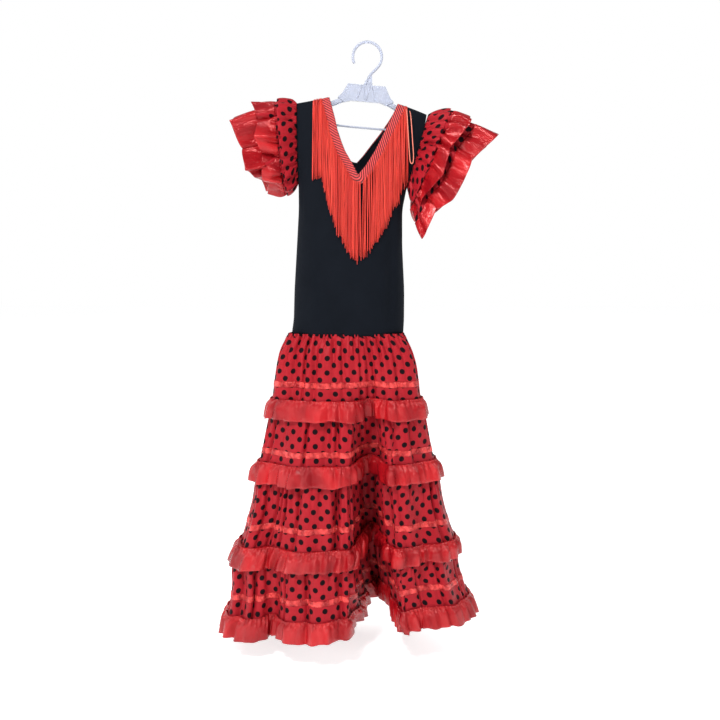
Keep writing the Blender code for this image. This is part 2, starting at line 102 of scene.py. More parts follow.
BODICE = (
    dict(z=-100, middle=-8, half=144, front=24, back=22),
    dict(z=-123, middle=-10, half=144, front=24, back=22),
    dict(z=-155, middle=-13, half=138.6, front=29, back=26),
    dict(z=-190, middle=-16, half=132.6, front=33, back=29),
    dict(z=-232, middle=-21, half=117.5, front=38, back=34),
    dict(z=-264, middle=-27.5, half=105.5, front=42, back=37),
    dict(z=-314, middle=-32.5, half=100.5, front=45, back=40),
    dict(z=-386, middle=-34.5, half=103, front=47, back=42),
    dict(z=-470, middle=-35, half=108, front=49, back=44),
    dict(z=-530, middle=-36, half=109, front=50, back=45),
    dict(z=-556, middle=-39, half=110.5, front=50, back=45),
)
SHOULDER = (
    dict(at=-1.0, z=-114), dict(at=-0.88, z=-112), dict(at=-0.465, z=-101),
    dict(at=0.0, z=-106), dict(at=0.507, z=-114), dict(at=0.88, z=-133),
    dict(at=1.0, z=-136),
)
FRONT_EDGE = (
    dict(at=-1.0, z=-264), dict(at=-0.96, z=-232), dict(at=-0.905, z=-190),
    dict(at=-0.89, z=-150), dict(at=-0.88, z=-112), dict(at=-0.72, z=-108),
    dict(at=-0.6, z=-104.5), dict(at=-0.465, z=-101), dict(at=-0.33, z=-158),
    dict(at=-0.21, z=-201), dict(at=-0.08, z=-227), dict(at=0.0568, z=-249),
    dict(at=0.165, z=-231), dict(at=0.275, z=-200), dict(at=0.40, z=-150),
    dict(at=0.507, z=-114), dict(at=0.63, z=-120), dict(at=0.75, z=-126),
    dict(at=0.88, z=-133), dict(at=0.89, z=-158), dict(at=0.905, z=-192),
    dict(at=0.96, z=-234), dict(at=1.0, z=-267),
)
BACK_EDGE = (
    dict(at=-1.0, z=-264), dict(at=-0.96, z=-232), dict(at=-0.905, z=-190),
    dict(at=-0.89, z=-150), dict(at=-0.88, z=-112), dict(at=-0.72, z=-108),
    dict(at=-0.6, z=-104.5), dict(at=-0.465, z=-101), dict(at=-0.40, z=-142),
    dict(at=-0.335, z=-172), dict(at=-0.23, z=-203), dict(at=-0.11, z=-219),
    dict(at=0.0, z=-221), dict(at=0.09, z=-208), dict(at=0.209, z=-184),
    dict(at=0.31, z=-164), dict(at=0.40, z=-143), dict(at=0.45, z=-130),
    dict(at=0.507, z=-114), dict(at=0.63, z=-120),
    dict(at=0.75, z=-126), dict(at=0.88, z=-133), dict(at=0.89, z=-158),
    dict(at=0.905, z=-192), dict(at=0.96, z=-234), dict(at=1.0, z=-267),
)
NECK_FRONT = (
    dict(x=-74, z=-100), dict(x=-62.6, z=-142), dict(x=-56, z=-172),
    dict(x=-43, z=-205), dict(x=-29, z=-229), dict(x=-18, z=-251),
    dict(x=-2, z=-232), dict(x=15, z=-205), dict(x=32, z=-172),
    dict(x=45.4, z=-145.5), dict(x=59.5, z=-113),
)
NECK_BACK = (
    dict(x=-74, z=-100), dict(x=-68, z=-142), dict(x=-60, z=-172),
    dict(x=-47, z=-203), dict(x=-34, z=-218), dict(x=-21, z=-223),
    dict(x=-8, z=-209), dict(x=10, z=-186), dict(x=27, z=-165),
    dict(x=42, z=-144), dict(x=51, z=-130), dict(x=60, z=-113),
)
SLEEVES = dict(
    left=dict(
        cap=(
            dict(xt=-135.5, zt=-114, xb=-134, zb=-262, front=-20, back=18),
            dict(xt=-165, zt=-111, xb=-152, zb=-276, front=-40, back=36),
        ),
        upper=(
            dict(xt=-165, zt=-111, xb=-152, zb=-276, front=-40, back=36),
            dict(xt=-210, zt=-114, xb=-188, zb=-270, front=-66, back=58),
        ),
        lower=(
            dict(xt=-166, zt=-114, xb=-154, zb=-269, front=-33, back=29),
            dict(xt=-245, zt=-145, xb=-190, zb=-270, front=-62, back=56, bow=-24.0),
        ),
    ),
    right=dict(
        cap=(
            dict(xt=117, zt=-134, xb=78, zb=-268, front=-20, back=18),
            dict(xt=150, zt=-128, xb=86, zb=-293, front=-42, back=36),
        ),
        upper=(
            dict(xt=150, zt=-128, xb=86, zb=-293, front=-42, back=36),
            dict(xt=190, zt=-138, xb=94, zb=-320, front=-72, back=56),
        ),
        lower=(
            dict(xt=151, zt=-135, xb=86, zb=-290, front=-35, back=29),
            dict(xt=242, zt=-168, xb=110, zb=-352, front=-70, back=54),
        ),
    ),
)
LOOP_ROUTE = (
    (74, -13, -124), (74.6, -20, -128), (75.2, -28, -136), (76, -35.5, -152),
    (77, -41, -170), (78, -44.5, -188), (79, -47.5, -206),
    (80, -49.5, -218), (81, -50.5, -225), (83, -51, -228.5),
    (85.2, -50.5, -228), (86.6, -49.5, -223), (87, -48, -214),
    (86.2, -46.5, -200), (85, -43, -182), (84, -39, -164),
    (83, -32.5, -148), (82, -24.5, -135), (81, -15, -128),
)


def column(rows, key, values, name, soften=0.0):
    """A table's column read at many values; soften rounds its corners."""
    ordered = sorted(rows, key=lambda row: row[key])
    xs = [row[key] for row in ordered]
    ys = [row[name] for row in ordered]
    values = np.asarray(values, float)
    if not soften:
        return np.interp(values, xs, ys)
    steps = np.linspace(-soften, soften, 9)
    return sum(np.interp(values + step, xs, ys) for step in steps) / len(steps)


# ------------------------------------------------------------- materials
def tree_of(name):
    made = bpy.data.materials.new(name)
    made.use_nodes = True
    tree = made.node_tree
    return made, tree, tree.nodes["Principled BSDF"]


def node(tree, kind, links=(), **settings):
    made = tree.nodes.new(kind)
    for key, value in settings.items():
        setattr(made, key, value)
    for socket, value in dict(links).items():
        if isinstance(value, bpy.types.NodeSocket):
            tree.links.new(value, made.inputs[socket])
        else:
            made.inputs[socket].default_value = value
    return made


def calc(tree, operation, a, b=0.0):
    return node(tree, "ShaderNodeMath", {0: a, 1: b}, operation=operation).outputs[0]


def mixed(tree, factor, a, b):
    made = tree.nodes.new("ShaderNodeMix")
    made.data_type = "RGBA"
    for socket, value in ((0, factor), (6, a), (7, b)):
        if isinstance(value, bpy.types.NodeSocket):
            tree.links.new(value, made.inputs[socket])
        elif socket == 0:
            made.inputs[socket].default_value = value
        else:
            made.inputs[socket].default_value = (*value, 1.0)
    return made.outputs[2]


def bumped(tree, shader, height, distance, strength):
    """Gives a shader its relief."""
    made = node(
        tree, "ShaderNodeBump",
        {"Height": height, "Distance": distance, "Strength": strength},
    )
    tree.links.new(made.outputs[0], shader.inputs["Normal"])


def uv_of(tree):
    return node(tree, "ShaderNodeUVMap", uv_map="cut").outputs[0]


def noise(tree, vector, scale, detail=2.0):
    made = node(
        tree, "ShaderNodeTexNoise",
        {"Vector": vector, "Scale": scale, "Detail": detail},
    )
    return made.outputs["Fac"]


def dot_mask(tree, uv, wide, high, radius):
    """One where a printed dot is: a staggered lattice of round dots."""
    parts = node(tree, "ShaderNodeSeparateXYZ", {0: uv})
    masks = []
    for shift in (0.0, 0.5):
        squares = []
        for axis, pitch in ((0, wide), (1, high)):
            turn = calc(tree, "ADD", calc(tree, "DIVIDE", parts.outputs[axis], pitch), shift)
            near = calc(tree, "SUBTRACT", calc(tree, "FRACT", turn), 0.5)
            far = calc(tree, "MULTIPLY", near, pitch)
            squares.append(calc(tree, "MULTIPLY", far, far))
        reach = calc(tree, "SQRT", calc(tree, "ADD", squares[0], squares[1]))
        edge = calc(tree, "MULTIPLY", calc(tree, "SUBTRACT", radius, reach), 2500.0)
        masks.append(node(tree, "ShaderNodeClamp", {0: edge}).outputs[0])
    return calc(tree, "MAXIMUM", masks[0], masks[1])


def dotted_satin():
    made, tree, shader = tree_of("dotted_satin_look")
    uv = uv_of(tree)
    cloud = noise(tree, uv, 22.0, 3.0)
    red = mixed(tree, cloud, (0.26, 0.006, 0.012), (0.37, 0.012, 0.020))
    black = mixed(tree, cloud, (0.003, 0.002, 0.003), (0.007, 0.005, 0.007))
    dots = dot_mask(tree, uv, DOT_ACROSS * MM, DOT_DOWN * MM, DOT_RADIUS * MM)
    tree.links.new(mixed(tree, dots, red, black), shader.inputs["Base Color"])
    rough = calc(tree, "ADD", calc(tree, "MULTIPLY", dots, 0.12), 0.36)
    rough = calc(tree, "ADD", rough, calc(tree, "MULTIPLY", cloud, 0.08))
    tree.links.new(rough, shader.inputs["Roughness"])
    shine = calc(tree, "SUBTRACT", 0.26, calc(tree, "MULTIPLY", dots, 0.18))
    tree.links.new(shine, shader.inputs["Specular IOR Level"])
    shader.inputs["Sheen Weight"].default_value = 0.01
    shader.inputs["Specular Tint"].default_value = (1.0, 0.42, 0.42, 1.0)
    weave = node(
        tree, "ShaderNodeTexWave", {"Vector": uv, "Scale": 900.0, "Distortion": 1.5},
        bands_direction="DIAGONAL",
    ).outputs["Fac"]
    crush = noise(tree, uv, 55.0, 4.0)
    height = calc(tree, "ADD", crush, calc(tree, "MULTIPLY", weave, 0.06))
    bumped(tree, shader, height, 0.0016, 0.55)
    return made


def ribbon_satin(name, painted_shade_tone, light, rough, cloud_scale, crush_scale, crush, lean):
    """Shiny ribbon with painted highlight and painted shade in its colour; its creases run across it,
    stretched by lean.
    """
    made, tree, shader = tree_of(name)
    uv = uv_of(tree)
    stretched = node(
        tree, "ShaderNodeMapping", {"Vector": uv, "Scale": (1.0, lean, 1.0)},
    ).outputs[0]
    cloud = noise(tree, stretched, cloud_scale, 2.0)
    # painted highlight and painted shade: noise patches mix the darker and the lighter tone into the
    # base colour as the satin's sheen
    painted_sheen_patch = calc(tree, "MULTIPLY", calc(tree, "SUBTRACT", cloud, 0.36), 3.4)
    painted_sheen_patch = node(tree, "ShaderNodeClamp", {0: painted_sheen_patch}).outputs[0]
    tree.links.new(mixed(tree, painted_sheen_patch, painted_shade_tone, light), shader.inputs["Base Color"])
    gloss = calc(tree, "ADD", calc(tree, "MULTIPLY", cloud, 0.14), rough)
    tree.links.new(gloss, shader.inputs["Roughness"])
    shader.inputs["Anisotropic"].default_value = 0.4
    shader.inputs["Specular IOR Level"].default_value = 1.0
    shader.inputs["Coat Weight"].default_value = 0.06
    shader.inputs["Coat Roughness"].default_value = 0.12
    shader.inputs["Specular Tint"].default_value = (1.0, 0.30, 0.29, 1.0)
    wrinkle = noise(tree, stretched, crush_scale, 3.0)
    fine = noise(tree, stretched, crush_scale * 3.1, 2.0)
    thread = node(
        tree, "ShaderNodeTexWave", {"Vector": uv, "Scale": 1100.0, "Distortion": 0.6},
        bands_direction="Y",
    ).outputs["Fac"]
    height = calc(tree, "ADD", wrinkle, calc(tree, "MULTIPLY", fine, 0.3))
    height = calc(tree, "ADD", height, calc(tree, "MULTIPLY", thread, 0.03))
    bumped(tree, shader, height, 0.0040, crush)
    return made


def knit():
    made, tree, shader = tree_of("knit_look")
    uv = uv_of(tree)
    cloud = noise(tree, uv, 16.0, 4.0)
    tree.links.new(
        mixed(tree, cloud, (0.0020, 0.0031, 0.0056), (0.0042, 0.0060, 0.0098)),
        shader.inputs["Base Color"],
    )
    shader.inputs["Roughness"].default_value = 0.82
    shader.inputs["Specular IOR Level"].default_value = 0.08
    shader.inputs["Sheen Weight"].default_value = 0.015
    shader.inputs["Sheen Roughness"].default_value = 0.5
    shader.inputs["Sheen Tint"].default_value = (0.45, 0.55, 0.7, 1.0)
    wale = node(
        tree, "ShaderNodeTexWave", {"Vector": uv, "Scale": 260.0, "Distortion": 0.8},
        bands_direction="X",
    ).outputs["Fac"]
    course = node(
        tree, "ShaderNodeTexWave", {"Vector": uv, "Scale": 330.0, "Distortion": 0.8},
        bands_direction="Y",
    ).outputs["Fac"]
    soft = noise(tree, uv, 12.0, 2.0)
    height = calc(tree, "ADD", calc(tree, "MULTIPLY", wale, 0.10), calc(tree, "MULTIPLY", course, 0.06))
    height = calc(tree, "ADD", height, calc(tree, "MULTIPLY", soft, 1.2))
    bumped(tree, shader, height, 0.0020, 0.35)
    return made


def braid_look():
    made, tree, shader = tree_of("braid_look")
    uv = uv_of(tree)
    parts = node(tree, "ShaderNodeSeparateXYZ", {0: uv})
    lean = calc(tree, "ADD", parts.outputs[0], parts.outputs[1])
    turn = calc(tree, "MULTIPLY", lean, TAU / (TWILL * MM))
    wave = calc(tree, "ADD", calc(tree, "MULTIPLY", calc(tree, "SINE", turn), 0.5), 0.5)
    fuzz = noise(tree, uv, 700.0, 2.0)
    # painted shade: the near-black between the diagonal cords stands for shadow in the grooves, the red
    # for the lit cords
    painted_groove_shade = mixed(tree, wave, (0.012, 0.001, 0.002), (0.72, 0.060, 0.062))
    tree.links.new(
        mixed(tree, calc(tree, "MULTIPLY", fuzz, 0.2), painted_groove_shade, (0.35, 0.02, 0.02)),
        shader.inputs["Base Color"],
    )
    shader.inputs["Roughness"].default_value = 0.55
    shader.inputs["Sheen Weight"].default_value = 0.05
    bumped(tree, shader, calc(tree, "ADD", wave, calc(tree, "MULTIPLY", fuzz, 0.3)), 0.0012, 0.9)
    return made


def fringe_look():
    made, tree, shader = tree_of("fringe_look")
    uv = uv_of(tree)
    island = node(tree, "ShaderNodeNewGeometry").outputs["Random Per Island"]
    tone = mixed(tree, island, (0.50, 0.016, 0.012), (0.90, 0.070, 0.042))
    twist = node(
        tree, "ShaderNodeTexWave", {"Vector": uv, "Scale": 330.0, "Distortion": 0.5},
        bands_direction="DIAGONAL",
    ).outputs["Fac"]
    # painted shade: the twist bands darken each strand where its twist grooves fall in shadow
    tree.links.new(
        mixed(tree, calc(tree, "MULTIPLY", twist, 0.45), tone, (0.26, 0.008, 0.006)),
        shader.inputs["Base Color"],
    )
    shader.inputs["Roughness"].default_value = 0.42
    shader.inputs["Specular IOR Level"].default_value = 0.3
    shader.inputs["Sheen Weight"].default_value = 0.01
    bumped(tree, shader, twist, 0.0005, 0.6)
    return made


def plastic_look():
    made, tree, shader = tree_of("hanger_plastic_look")
    place = node(tree, "ShaderNodeTexCoord").outputs["Object"]
    cloud = noise(tree, place, 60.0, 3.0)
    tree.links.new(
        mixed(tree, cloud, (0.50, 0.54, 0.66), (0.64, 0.67, 0.78)),
        shader.inputs["Base Color"],
    )
    gloss = calc(tree, "ADD", calc(tree, "MULTIPLY", cloud, 0.1), 0.16)
    tree.links.new(gloss, shader.inputs["Roughness"])
    shader.inputs["Transmission Weight"].default_value = 0.45
    shader.inputs["IOR"].default_value = 1.45
    shader.inputs["Coat Weight"].default_value = 0.3
    bumped(tree, shader, noise(tree, place, 220.0, 2.0), 0.0004, 0.3)
    return made


DOTTED = dotted_satin()
# each ribbon's two colours are its painted shade tone and its painted highlight tone
WIDE_SATIN = ribbon_satin(
    "wide_ribbon_look", (0.22, 0.002, 0.006), (0.45, 0.009, 0.013), 0.12, 19.0, 46.0, 0.70, 0.40)
NARROW_SATIN = ribbon_satin(
    "narrow_ribbon_look", (0.26, 0.004, 0.008), (0.82, 0.070, 0.066), 0.18, 70.0, 190.0, 1.0, 0.6)
LOOP_SATIN = ribbon_satin(
    "loop_look", (0.62, 0.16, 0.11), (0.80, 0.27, 0.19), 0.30, 90.0, 200.0, 0.3, 1.0)
KNIT = knit()
BRAID = braid_look()
FRINGE = fringe_look()
PLASTIC = plastic_look()


# ----------------------------------------------------------- mesh making
def grid_mesh(name, points, uv, ring, look, thick=0.0):
    """Mesh of a grid of points; a ring closes on itself, its uv has one column more."""
    rows, cols = points.shape[:2]
    last = cols if ring else cols - 1
    i, j = np.meshgrid(np.arange(rows - 1), np.arange(last), indexing="ij")
    k = (j + 1) % cols
    faces = np.stack([i * cols + j, (i + 1) * cols + j, (i + 1) * cols + k, i * cols + k], -1)
    faces = faces.reshape(-1, 4)
    wide = uv.shape[1]
    corner = np.stack([i * wide + j, (i + 1) * wide + j, (i + 1) * wide + j + 1, i * wide + j + 1], -1)
    mesh = bpy.data.meshes.new(name)
    mesh.from_pydata((points.reshape(-1, 3) * MM).tolist(), [], faces.tolist())
    layer = mesh.uv_layers.new(name="cut")
    layer.data.foreach_set("uv", (uv.reshape(-1, 2)[corner.reshape(-1)] * MM).ravel())
    mesh.materials.append(look)
    mesh.polygons.foreach_set("use_smooth", [True] * len(mesh.polygons))
    made = bpy.data.objects.new(name, mesh)
    bpy.context.scene.collection.objects.link(made)
    if thick:
        shell = made.modifiers.new("thickness", "SOLIDIFY")
        shell.thickness = thick * MM
        shell.offset = 0.0
    return made


def ring_normals(points):
    """Outward direction of each point of closed rows, level with the floor."""
    ahead = np.roll(points, -1, 1) - np.roll(points, 1, 1)
    out = np.stack([ahead[..., 1], -ahead[..., 0], np.zeros(ahead.shape[:2])], -1)
    size = np.linalg.norm(out, axis=-1, keepdims=True)
    return out / np.maximum(size, 1e-6)


def row_lengths(points, ring=True):
    ahead = np.roll(points, -1, 1) - points if ring else np.diff(points, axis=1)
    return np.linalg.norm(ahead, axis=-1)


def smooth_noise(count, knots, seed):
    """Periodic noise between -1 and 1 with that many knots round the ring."""
    local = np.random.default_rng(seed)
    values = local.uniform(-1, 1, knots)
    place = np.arange(count) / count * knots
    low = place.astype(int) % knots
    share = place - place.astype(int)
    share = share * share * (3 - 2 * share)
    return values[low] * (1 - share) + values[(low + 1) % knots] * share


def pleats(count, cycles, seed, sharp=0.5):
    """Uneven folds round a ring: broad crests and tight valleys."""
    u = np.arange(count) / count
    drift = smooth_noise(count, max(3, cycles // 3), seed) * 0.55 / cycles
    drift += smooth_noise(count, max(3, cycles // 8), seed + 1) * 1.1 / cycles
    phase = np.pi * cycles * (u + drift)
    wave = 2 * np.sqrt(np.sin(phase) ** 2 + 0.02) - 1
    round_wave = -np.cos(2 * phase)
    depth = 0.75 + 0.45 * smooth_noise(count, max(3, int(cycles * 0.7)), seed + 2)
    return (sharp * wave + (1 - sharp) * round_wave) * depth


def tucks(count, flat, spacing, wide, seed):
    """Narrow inward folds at uneven places round a ring."""
    local = np.random.default_rng(seed)
    run = np.arange(count) / count * flat
    pattern = np.zeros(count)
    place = local.uniform(0, spacing)
    while place < flat - spacing * 0.3:
        near = np.abs((run - place + flat / 2) % flat - flat / 2)
        size = wide * local.uniform(0.65, 1.5)
        pattern -= local.uniform(0.35, 1.0) * np.exp(-((near / size) ** 2))
        place += spacing * local.uniform(0.35, 1.7)
    return pattern


def gather(base, out, flat, waves, outward=False, least=1.0):
    """Displaces closed rows so that each is as long as the flat strip.

    waves is a list of (pattern, weight of each row).  Where the base is
    already as long as the strip, a trace of the folds is kept.
    """
    total = sum(np.outer(weight, pattern) for pattern, weight in waves)
    if outward:
        total = total - total.min(1, keepdims=True)
    made = base.copy()
    for row in range(len(base)):
        low, high = 0.0, 30.0
        for _ in range(18):
            middle = (low + high) / 2
            trial = base[row] + out[row] * (total[row] * middle)[:, None]
            if row_lengths(trial[None])[0].sum() < flat:
                low = middle
            else:
                high = middle
        size = max(low, least)
        made[row] = base[row] + out[row] * (total[row] * size)[:, None]
    return made


def ring_uv(points, flat, down, offset=0.0):
    """Cut coordinates: along the strip from arc length, down it from height."""
    length = row_lengths(points)
    run = np.concatenate([np.zeros((len(points), 1)), np.cumsum(length, 1)], 1)
    run *= flat / run[:, -1:]
    run += offset
    high = np.broadcast_to(np.asarray(down)[:, None], run.shape)
    return np.stack([run, high], -1)


# --------------------------------------------------------------- skirt
def growth(z, start):
    span = SKIRT[-1]["z"] - start
    return np.clip((z - start) / span, 0.0, 1.2) ** 0.85


def skirt_surface(turn, z):
    """Base of the skirt, no gathers.  turn and z broadcast together."""
    turn, z = np.broadcast_arrays(turn, z)
    left, right, front, back, depth, axis = (
        column(SKIRT, "z", z, name, 14.0)
        for name in ("left", "right", "front", "back", "trough", "axis")
    )
    power = 2 / 2.3
    sine = -np.sin(turn * TAU)
    cosine = np.cos(turn * TAU)
    across = np.sign(sine) * np.abs(sine) ** power
    along = np.sign(cosine) * np.abs(cosine) ** power
    half = (right - left) / 2
    reach = np.where(along > 0, back - SKIRT_MIDDLE, SKIRT_MIDDLE - front)
    x = (left + right) / 2 + half * across
    y = SKIRT_MIDDLE + reach * along
    sink = np.zeros_like(x)
    for fold in FOLDS:
        near = np.exp(-((x - fold["x"]) / fold["half"]) ** 2)
        near = near * np.minimum(1.0, np.abs(along) * 2.5) * (fold["face"] * along > 0)
        amount = fold["depth"] * growth(z, fold["start"]) * near
        y = y - fold["face"] * amount
        sink = sink + np.abs(amount)
    wide = TROUGH_HALF * (0.75 + 0.25 * depth / 214)
    flare = 1 + 0.35 * np.clip((-z - 1040) / 98, 0, 1)
    far = np.abs(x - axis) / (wide * np.where(x < axis, flare, 1.0))
    shape = np.where((far < 1) & (along < 0), np.maximum(1 - far * far, 0.0) ** 1.5, 0.0)
    y = y + depth * shape
    sink = sink + depth * shape
    drop = LEFT_DROP * growth(z, -700) * np.maximum(0.0, -(x + 40) / 250)
    rise = RIGHT_RISE * np.clip((-z - 966) / 90, 0, 1) * np.clip((x - 35) / 50, 0, 1)
    return np.stack([x, y, z - drop + rise + 0.05 * sink], -1)


def even_turns(count, z):
    """Turns that divide the row at this height into equal lengths."""
    fine = np.arange(2881) / 2880
    line = skirt_surface(fine, float(z))
    run = np.concatenate([[0], np.cumsum(np.linalg.norm(np.diff(line, axis=0), axis=1))])
    return np.interp(np.arange(count) / count * run[-1], run, fine)


def skirt_rows(turns, levels):
    return skirt_surface(turns[None, :], np.asarray(levels, float)[:, None])


def build_tier(number, tier):
    top, bottom = tier["top"], tier["bottom"]
    girth = row_lengths(skirt_rows(even_turns(1440, bottom), [bottom]))[0].sum()
    flat = girth * (1.10, 1.09, 1.13, 1.14)[number - 1]
    cols = int(round(flat / 2.25 / 8) * 8)
    turns = even_turns(cols, (top + bottom) / 2)
    tuck = 3.0
    levels = np.concatenate([
        [top + tuck], np.linspace(top, top - 24, 8), np.linspace(top - 28, bottom - 2, 24),
    ])
    raw = skirt_rows(turns, levels)
    out = ring_normals(raw)
    below = np.maximum(top - levels, 0.0)
    spring = (1.5 if number > 1 else 1.0) * (1 - np.exp(-below / 9)) * np.exp(-below / 70)
    if number == 1:
        spring = spring - 2.2 * np.exp(-below / 3)
    base = raw + out * spring[:, None, None]
    tag = 100 * number
    fade = 50 if number == 1 else 34
    waves = (
        (pleats(cols, int(flat / 12), tag, 0.6), 0.9 * np.exp(-below / 11)),
        (tucks(cols, flat, 26, 3.8, tag + 5), 2.2 * (1 - np.exp(-below / 6)) * np.exp(-below / fade)),
        (tucks(cols, flat, 62, 4.6, tag + 6), 2.0 * (1 - np.exp(-below / 8))),
        (tucks(cols, flat, 95, 9.0, tag + 7), 1.5 * (1 - np.exp(-below / 30))),
        (pleats(cols, int(flat / 84), tag + 8, 0.2), 1.1 * (1 - np.exp(-below / 60))),
    )
    cloth = gather(base, out, flat, waves, least=2.0)
    uv = ring_uv(cloth, flat, below, number * 7.3)
    name = f"tier_{number}"
    made = grid_mesh(name, cloth, uv, True, DOTTED, 0.5)
    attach(made, "root")
    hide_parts(f"skirt_tier_{number}")
    offset = ((cloth - raw) * out).sum(-1)
    return dict(cloth=cloth, levels=levels, turns=turns, flat=flat, cols=cols, offset=offset)


def envelope(tier, turns, levels, reach=6.0):
    """How far a finished tier stands off the base, round its crests."""
    field = tier["offset"]
    steps = int(reach / (tier["flat"] / tier["cols"]))
    crest = field.copy()
    for step in range(-steps, steps + 1):
        crest = np.maximum(crest, np.roll(field, step, 1))
    known = tier["levels"]
    made = np.full((len(levels), len(turns)), -5.0)
    for row, level in enumerate(levels):
        if level > known[0] or level < known[-1] - 2:
            continue
        place = np.interp(-level, -known, np.arange(len(known)))
        low = int(min(place, len(known) - 2))
        share = place - low
        line = crest[low] * (1 - share) + crest[low + 1] * share
        made[row] = np.interp(turns, tier["turns"], line, period=1.0)
    return made


def at_level(tier, z):
    """Row of a finished tier at a height, between its two nearest rows."""
    levels = tier["levels"]
    place = np.interp(-z, -levels, np.arange(len(levels)))
    low = int(min(place, len(levels) - 2))
    share = place - low
    return tier["cloth"][low] * (1 - share) + tier["cloth"][low + 1] * share


def build_narrow(number, tier, z):
    """Narrow ribbon stitched flat on the gathered cloth, which puckers it."""
    cols = tier["cols"]
    rows = 5
    levels = np.linspace(z, z - NARROW, rows)
    line = np.stack([at_level(tier, level) for level in levels])
    soft = (np.roll(line, 1, 1) + line * 2 + np.roll(line, -1, 1)) / 4
    out = ring_normals(soft)
    pucker = pleats(cols, int(tier["flat"] / 7.5), 500 + number, 0.2)
    across = np.sin(np.linspace(0, np.pi, rows))
    lift = 0.9 + 0.5 * np.outer(across, pucker)
    ribbon = soft + out * lift[..., None]
    flat = row_lengths(ribbon).mean(0).sum()
    uv = ring_uv(ribbon, flat, np.linspace(0, NARROW, rows), number * 31.0)
    made = grid_mesh(f"narrow_ribbon_row_{number}", ribbon, uv, True, NARROW_SATIN, 0.35)
    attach(made, "root")
    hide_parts(f"narrow_ribbon_{number}")


def build_ruffle(number, z, over, under):
    """Wide ribbon: crinkled where it is sewn, rolling in lobes at its edge."""
    girth = row_lengths(skirt_rows(even_turns(1440, z), [z]))[0].sum()
    flat = girth * 1.27
    cols = int(round(flat / 2.2 / 8) * 8)
    turns = even_turns(cols, z)
    header = 3.5
    down = np.concatenate([[-header, -header / 2], np.linspace(0, WIDE - header, 13)])
    levels = z - down * 0.98
    raw = skirt_rows(turns, levels)
    out = ring_normals(raw)
    crest = envelope(over, turns, levels)
    if under is not None:
        crest = np.maximum(crest, envelope(under, turns, levels))
    crest[down < 1] = envelope(over, turns, [z + 1.0])
    crest = np.maximum.accumulate(crest - 0.25 * np.maximum(down, 0)[:, None], 0)
    crest = np.maximum(crest, envelope(under if under is not None else over, turns, levels, 3.0))
    for _ in range(4):
        crest = (np.roll(crest, 1, 1) + 2 * crest + np.roll(crest, -1, 1)) / 4
    depth = np.maximum(down, 0)
    stand = 0.8 + 1.2 * (1 - np.exp(-depth / 16)) + 0.6 * (down < 0)
    base = raw + out * (stand[:, None] + crest)[..., None]
    tag = 700 + number * 40
    waves = (
        (pleats(cols, int(flat / 9.5), tag, 0.4), np.exp(-depth / 6)),
        (pleats(cols, int(flat / 21), tag + 5, 0.5),
         0.8 * (1 - np.exp(-depth / 6)) * np.exp(-depth / 24)),
        (pleats(cols, int(flat / 34), tag + 10, 0.35), 1.3 * (1 - np.exp(-depth / 14))),
        (pleats(cols, int(flat / 80), tag + 15, 0.1), 0.7 * (1 - np.exp(-depth / 20))),
    )
    cloth = gather(base, out, flat, waves, outward=True, least=0.6)
    sag = 2.6 * smooth_noise(cols, 31, 950 + number) + 1.4 * smooth_noise(cols, 90, 970 + number)
    cloth[..., 2] += (depth / WIDE)[:, None] * sag[None, :]
    uv = ring_uv(cloth, flat, down, number * 53.0)
    made = grid_mesh(f"ruffle_{number}", cloth, uv, True, WIDE_SATIN, 0.4)
    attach(made, "root")
    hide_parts(f"ribbon_ruffle_{number}")


built = [build_tier(number, tier) for number, tier in enumerate(TIERS, 1)]
for number, tier in enumerate(TIERS, 1):
    build_narrow(number, built[number - 1], tier["ribbon"])
    if number < 4:
        build_ruffle(number, tier["bottom"], built[number - 1], built[number])
    else:
        build_ruffle(number, HEM_RUFFLE_TOP, built[3], None)


# -------------------------------------------------------------- bodice
def bodice_y(at, z, side):
    depth = column(BODICE, "z", z, "front" if side < 0 else "back", 12.0)
    line = column(SHOULDER, "at", at, "z", 0.05)
    below = np.maximum(0.0, line - z)
    shape = np.sqrt(np.maximum(1 - np.abs(at) ** 3, 0.0))
    full = 1 - np.exp(-below / 18)
    return side * (0.4 + depth * full * shape + 0.4 * shape)


def bodice_x(at, z):
    return column(BODICE, "z", z, "middle", 12.0) + column(BODICE, "z", z, "half", 12.0) * at


def panel_y(x, z, side):
    """Depth of a panel under a point of the picture plane."""
    at = (x - column(BODICE, "z", z, "middle", 12.0)) / column(BODICE, "z", z, "half", 12.0)
    return bodice_y(np.clip(at, -1, 1), z, side)


def bodice_creases(x, z, side):
    """Soft folds of the hanging knit: one long one at the right, a few faint."""
    long = np.exp(-((x - 46 - 0.02 * (z + 450)) / 9) ** 2)
    long = long * np.clip((-z - 330) / 60, 0, 1) * np.clip((z + 560) / 60, 0, 1)
    left = np.exp(-((x + 108 + 0.03 * (z + 400)) / 14) ** 2) * np.clip((-z - 280) / 80, 0, 1)
    tug = np.exp(-((x - 70 + 0.35 * (z + 300)) / 12) ** 2) * np.exp(-((z + 300) / 50) ** 2)
    ripple = np.sin(x / 17 + z / 130) * np.clip((-z - 380) / 150, 0, 1)
    if side > 0:
        return 2.2 * left + 1.2 * ripple
    return -(4.5 * long) + 1.6 * left + 2.5 * tug + 0.7 * ripple


